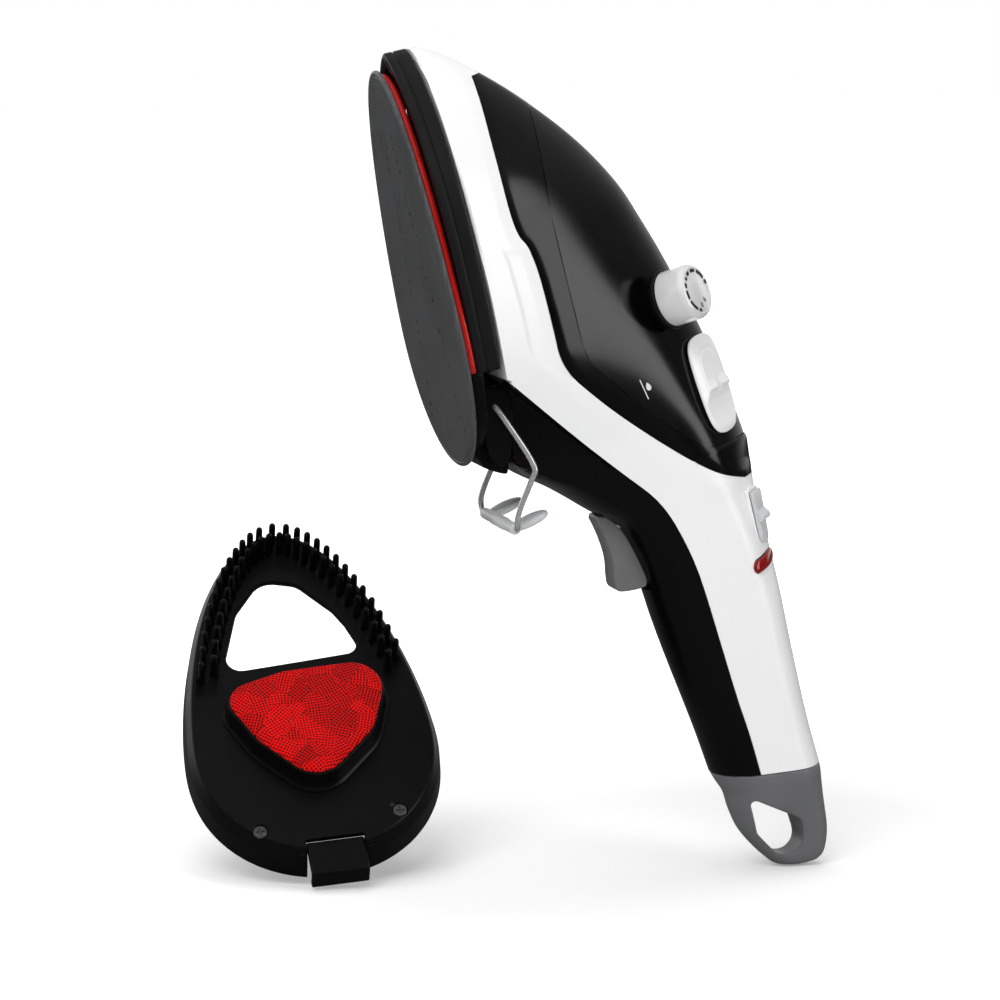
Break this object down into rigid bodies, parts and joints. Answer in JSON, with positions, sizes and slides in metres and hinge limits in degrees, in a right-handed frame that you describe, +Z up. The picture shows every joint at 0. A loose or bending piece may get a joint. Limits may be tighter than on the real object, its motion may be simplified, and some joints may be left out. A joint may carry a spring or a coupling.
{
  "type": "handheld garment steamer",
  "caption": "Upright garment steamer with an iron-shaped soleplate, shoulder water tank with steam knob, trigger handle with hang loop, fold-out wire stand and a separate fabric brush.",
  "frame": {"origin": "centre of the grip, on the steamer's middle plane, between the trigger and the hang loop", "axes": "+Z up, +X from the soleplate towards the user's side of the handle, Y across the steamer. The steamer leans 12.2 degrees, as it is shown in use"},
  "size_m": [0.2502, 0.1781, 0.3276],
  "materials": {
    "plate_metal": "satin",
    "seal_red": "satin",
    "black_gloss": "gloss",
    "black_matte": "matte",
    "white_gloss": "gloss",
    "tank_smoke": "gloss",
    "grey_plastic": "satin",
    "silver_knob": "satin",
    "lamp_red": "gloss",
    "wire_steel": "polished",
    "screw_steel": "satin",
    "light_grey": "satin",
    "silicone": "satin",
    "board_green": "satin",
    "ceramic": "matte",
    "brass_part": "satin",
    "bristle_black": "satin",
    "shield_grey": "satin",
    "trigger_grey": "satin",
    "brush_black": "satin",
    "pad_fabric": "woven"
  },
  "bodies": {
    "steamer": {"soleplate": "plate_metal", "plate_seal": "seal_red", "heat_shield": "shield_grey", "steam_chamber": "plate_metal", "heating_element": "screw_steel", "thermostat": "ceramic", "thermal_fuse": "brass_part", "housing_left": "white_gloss", "housing_right": "white_gloss", "front_cover": "black_gloss", "heel_block": "black_matte", "tank_frame": "black_gloss", "tank_deck": "black_matte", "water_tank": "tank_smoke", "knob_collar": "black_gloss", "steam_valve": "light_grey", "slide_switch": "black_matte", "pilot_lamp": "lamp_red", "trigger_pin": "wire_steel", "trigger_spring": "wire_steel", "microswitch": "black_matte", "water_pump": "light_grey", "suction_tube": "silicone", "steam_tube": "silicone", "circuit_board": "board_green", "terminal_block": "ceramic", "end_cap": "grey_plastic", "cord_gland": "black_matte", "housing_screws": "screw_steel"},
    "stand": {"stand_wire": "wire_steel", "stand_foot": "grey_plastic"},
    "trigger_body": {"trigger": "trigger_grey"},
    "knob": {"steam_knob": "silver_knob", "knob_shaft": "screw_steel"},
    "filler": {"filler_cover": "white_gloss", "filler_seal": "silicone"},
    "slider": {"switch_slider": "light_grey"},
    "brush": {"brush_frame": "brush_black", "bristle_strip": "bristle_black", "pad_base": "brush_black", "lint_pad": "pad_fabric", "brush_screws": "screw_steel"},
    "latch": {"brush_latch": "brush_black"}
  },
  "joints": [
    {"name": "stand_swing", "type": "hinge", "parent": "steamer", "child": "stand", "pos_m": [-0.1063, 0, 0.11309], "axis": [0, 1, 0], "range_deg": [-14, 35]},
    {"name": "trigger_pull", "type": "hinge", "parent": "steamer", "child": "trigger_body", "pos_m": [-0.0504, 0, 0.06277], "axis": [0, 1, 0], "range_deg": [-6, 0], "stiffness_Nm_per_rad": 0.6, "springref_deg": 8.59},
    {"name": "knob_turn", "type": "hinge", "parent": "steamer", "child": "knob", "pos_m": [-0.03541, -0.02198, 0.15181], "axis": [0.6439, -0.6964, 0.3169], "range_deg": [0, 270]},
    {"name": "filler_open", "type": "hinge", "parent": "steamer", "child": "filler", "pos_m": [-0.01942, -0.0104, 0.13708], "axis": [-0.6911, -0.7071, -0.1494], "range_deg": [0, 100]},
    {"name": "slider_move", "type": "slide", "parent": "steamer", "child": "slider", "axis": [-0.2113, 0, 0.9774], "range_m": [0, 0.004]},
    {"name": "brush_lift", "type": "slide", "parent": "steamer", "child": "brush", "axis": [0, 0, 1], "range_m": [0, 0.06]},
    {"name": "latch_flex", "type": "hinge", "parent": "brush", "child": "latch", "pos_m": [-0.16182, 0.00645, -0.06261], "axis": [-0.9928, 0.0789, -0.0899], "range_deg": [0, 12], "stiffness_Nm_per_rad": 0.05, "springref_deg": -11.46}
  ]
}
